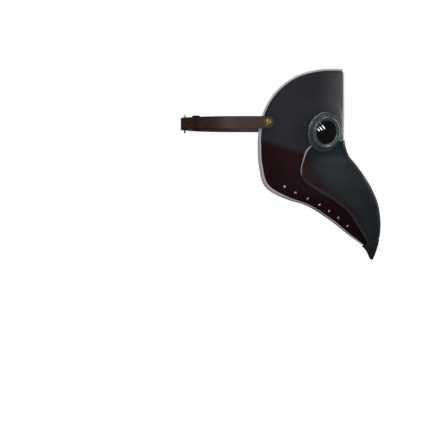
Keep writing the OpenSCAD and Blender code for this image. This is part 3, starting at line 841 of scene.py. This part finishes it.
# ---------------------------------------------------------------- goggles
# Injection-moulded parts in black ABS: a flanged socket through the leather, a bezel pressed
# over its collar and a ring screwed on from inside. The lens is tinted acrylic in a rubber
# gasket.
def moulded(name, colour, rough, grain_mm, coat, relief=0.1):
    """Moulded plastic: one even colour, a faint spark-eroded texture and slightly uneven
    gloss."""
    material, tree, shader = new_material(name)
    where = add_node(tree, "ShaderNodeTexCoord").outputs["Object"]
    slow = add_node(tree, "ShaderNodeTexNoise", {"Vector": where, "Scale": 90.0, "Detail": 4.0})
    fine = add_node(
        tree, "ShaderNodeTexNoise", {"Vector": where, "Scale": 1000.0 / grain_mm, "Detail": 2.0}
    )
    tone = add_node(
        tree,
        "ShaderNodeMix",
        {0: slow.outputs["Fac"], 6: linear(colour[0]), 7: linear(colour[1])},
        data_type="RGBA",
    )
    gloss = add_node(
        tree,
        "ShaderNodeMapRange",
        {"Value": slow.outputs["Fac"], "To Min": rough - 0.06, "To Max": rough + 0.08},
    )
    raised = add_node(
        tree,
        "ShaderNodeBump",
        {"Height": fine.outputs["Fac"], "Strength": relief, "Distance": 0.0001},
    )
    tree.links.new(tone.outputs[2], shader.inputs["Base Color"])
    tree.links.new(gloss.outputs["Result"], shader.inputs["Roughness"])
    tree.links.new(raised.outputs["Normal"], shader.inputs["Normal"])
    shader.inputs["Coat Weight"].default_value = coat
    shader.inputs["Coat Roughness"].default_value = 0.12
    return material


# Polished mould faces leave the socket and bezel glossy with clean rims of light, the ring
# and gasket inside dull; the lens is a black mirror that shows the window's bars.
socket_plastic = moulded("black_moulded_abs", ("#293033", "#353d41"), 0.3, 0.4, 0.6)
bezel_plastic = moulded("satin_black_abs", ("#2f3639", "#3d454a"), 0.28, 0.4, 0.45)
ring_plastic = moulded("dull_black_abs", ("#121314", "#1b1c1d"), 0.55, 0.4, 0.0)
gasket_rubber = moulded("black_gasket_rubber", ("#0b0b0b", "#121212"), 0.7, 0.5, 0.0)
acrylic = moulded("tinted_acrylic", ("#040404", "#070606"), 0.12, 4.0, 1.0, relief=0.002)
acrylic_shader = next(n for n in acrylic.node_tree.nodes if n.type == "BSDF_PRINCIPLED")
acrylic_shader.inputs["Coat Roughness"].default_value = 0.01
acrylic_shader.inputs["Specular IOR Level"].default_value = 0.1
acrylic_shader.inputs["Coat IOR"].default_value = 1.7

# Profiles as radius and height over the form's seat; back and top are the flange's faces.
back = panel_face + 0.1
top = 1.8
lens_radius, lens_height = 19.3, 3.8
socket_profile = [
    [19.8, top], [22.3, top], [22.3, top + 3.1], [22.5, top + 3.3], [23.8, top + 3.3],
    [24, top + 3.1], [24, top + 0.1], [31.2, top], [32, top - 0.15], [32.6, top - 0.5],
    [32.9, top - 1], [33, top - 1.6],
    [33, back + 0.5], [32.8, back + 0.15], [32.4, back], [23, back], [23, -10.6], [22.8, -10.8],
    [20, -10.8], [19.8, -10.6],
]
bezel_profile = [
    [19.6, top + 4.2], [19.62, top + 4.5], [19.8, top + 4.7], [20.6, top + 4.95], [21.6, top + 5.3],
    [22.6, top + 5.9], [23.2, top + 6.4], [23.7, top + 6.58], [24.2, top + 6.6], [24.7, top + 6.5],
    [25.3, top + 6.1], [26, top + 5.4], [26.9, top + 3.9], [27.6, top + 2.3], [27.95, top + 1.2],
    [28, top + 0.3], [27.9, top + 0.1], [24.05, top + 0.05], [24.05, top + 3.4], [19.8, top + 3.5],
]
r = np.linspace(0, lens_radius, 24)
dome_height = top + 3.25 + lens_height * (1 - (r / lens_radius) ** 2)
lens_rim = [[20, top + 3.22], [22.1, top + 3.2], [22.15, top + 1.1]]
lens_back = [[19, top + 1.05], [10, top + 3.6], [pole, top + 4.6]]
lens_profile = np.concatenate([np.stack([np.maximum(r, pole), dome_height], -1), lens_rim, lens_back])
seat_base = seat_point + [0, seam_gap / 2, 0]
for side, word in ((1, "left"), (-1, "right")):
    for name, profile, material, slot in (
        ("goggle_socket", socket_profile, socket_plastic, "socket_black"),
        ("goggle_bezel", bezel_profile, bezel_plastic, "bezel_black"),
        ("goggle_lens", lens_profile, acrylic, "lens_black"),
    ):
        solid_disc = name == "goggle_lens"
        if not solid_disc:
            profile = profile + profile[:1]
        grid = stood_on(turned(profile, 128), seat_base[None], seat_axis[None])
        piece = make_piece(f"{name}_{word}", grid, material, side=side, around=True, ends=solid_disc)
        if not solid_disc:
            seam = piece.modifiers.new("closed", "WELD")
            seam.merge_threshold = 0.00001
            corners = piece.modifiers.new("crisp", "EDGE_SPLIT")
            corners.split_angle = np.radians(40)
        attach(piece, "mask")
        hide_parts(name.replace("goggle", "eye") + f"_{word}")
    refinish(f"lens_gasket_{word}", gasket_rubber)
    refinish(f"eye_lock_ring_{word}", ring_plastic)

# ---------------------------------------------------------------- temple studs and eyelets
# Turned brass studs with a collar and a domed head, set through the panels; pressed brass
# eyelets line the strap ends and turn on them.
# Brass gone brown in the hollows, with a warm yellow glint on the domes.
brass = metal("antique_brass", "#b39a62", "#6b5733", 0.36, 0.3)
for node in ("pivot_stud_left", "pivot_stud_right", "strap_eyelets"):
    refinish(node, brass)

# ---------------------------------------------------------------- head strap
# Two 20 mm straps cut from 1.8 mm bridle leather, dyed dark brown and waxed, edges rubbed
# darker. The right one folds round the heel bar of a wire buckle.
strap_middle = 0.011  # height of the strap's middle line, in metres as materials read it


def strap_leather(name, colour, edge_colour):
    """Dyed bridle leather: fine pores, long waxy streaks, and darker burnished edges found
    from the height above the middle of the strap."""
    material, tree, shader = new_material(name)
    where = add_node(tree, "ShaderNodeTexCoord").outputs["Object"]
    high = add_node(tree, "ShaderNodeSeparateXYZ", {"Vector": where})
    off = add_node(
        tree, "ShaderNodeMath", {0: high.outputs["Z"], 1: strap_middle}, operation="SUBTRACT"
    )
    away = add_node(tree, "ShaderNodeMath", {0: off.outputs["Value"]}, operation="ABSOLUTE")
    edge = add_node(
        tree,
        "ShaderNodeMapRange",
        {"Value": away.outputs["Value"], "From Min": 0.0082, "From Max": 0.0099},
    )
    stretch = add_node(tree, "ShaderNodeMapping", {"Vector": where, "Scale": (60.0, 60.0, 420.0)})
    streak = add_node(
        tree, "ShaderNodeTexNoise", {"Vector": stretch.outputs["Vector"], "Scale": 1.0, "Detail": 4.0}
    )
    pore = add_node(
        tree, "ShaderNodeTexVoronoi", {"Vector": where, "Scale": 1100.0}, feature="SMOOTH_F1"
    )
    dyed = add_node(
        tree,
        "ShaderNodeMix",
        {0: streak.outputs["Fac"], 6: linear(colour[0]), 7: linear(colour[1])},
        data_type="RGBA",
    )
    edged = add_node(
        tree,
        "ShaderNodeMix",
        {0: edge.outputs["Result"], 6: dyed.outputs[2], 7: linear(edge_colour)},
        data_type="RGBA",
    )
    gloss = add_node(
        tree, "ShaderNodeMapRange", {"Value": streak.outputs["Fac"], "To Min": 0.36, "To Max": 0.56}
    )
    raised = add_node(
        tree,
        "ShaderNodeBump",
        {"Height": pore.outputs["Distance"], "Strength": 0.25, "Distance": 0.0002},
    )
    tree.links.new(edged.outputs[2], shader.inputs["Base Color"])
    tree.links.new(gloss.outputs["Result"], shader.inputs["Roughness"])
    tree.links.new(raised.outputs["Normal"], shader.inputs["Normal"])
    return material


# Wax fills the pores: a smooth satin brown, streaked along the strap.
bridle = strap_leather("dark_brown_bridle_leather", ("#2a1812", "#3d251b"), "#140b08")
keeper_bridle = strap_leather("dark_brown_keeper_leather", ("#24150f", "#351f17"), "#120a07")
refinish("strap_long", bridle)
refinish("strap_short", bridle)
refinish("strap_keeper", keeper_bridle)

# ---------------------------------------------------------------- buckle and strap rivets
# A frame and a prong bent from 3 mm steel wire and nickel plated; two small rivets close the
# fold of the strap.
for node in ("buckle_frame", "buckle_prong", "strap_rivets"):
    refinish(node, nickel)
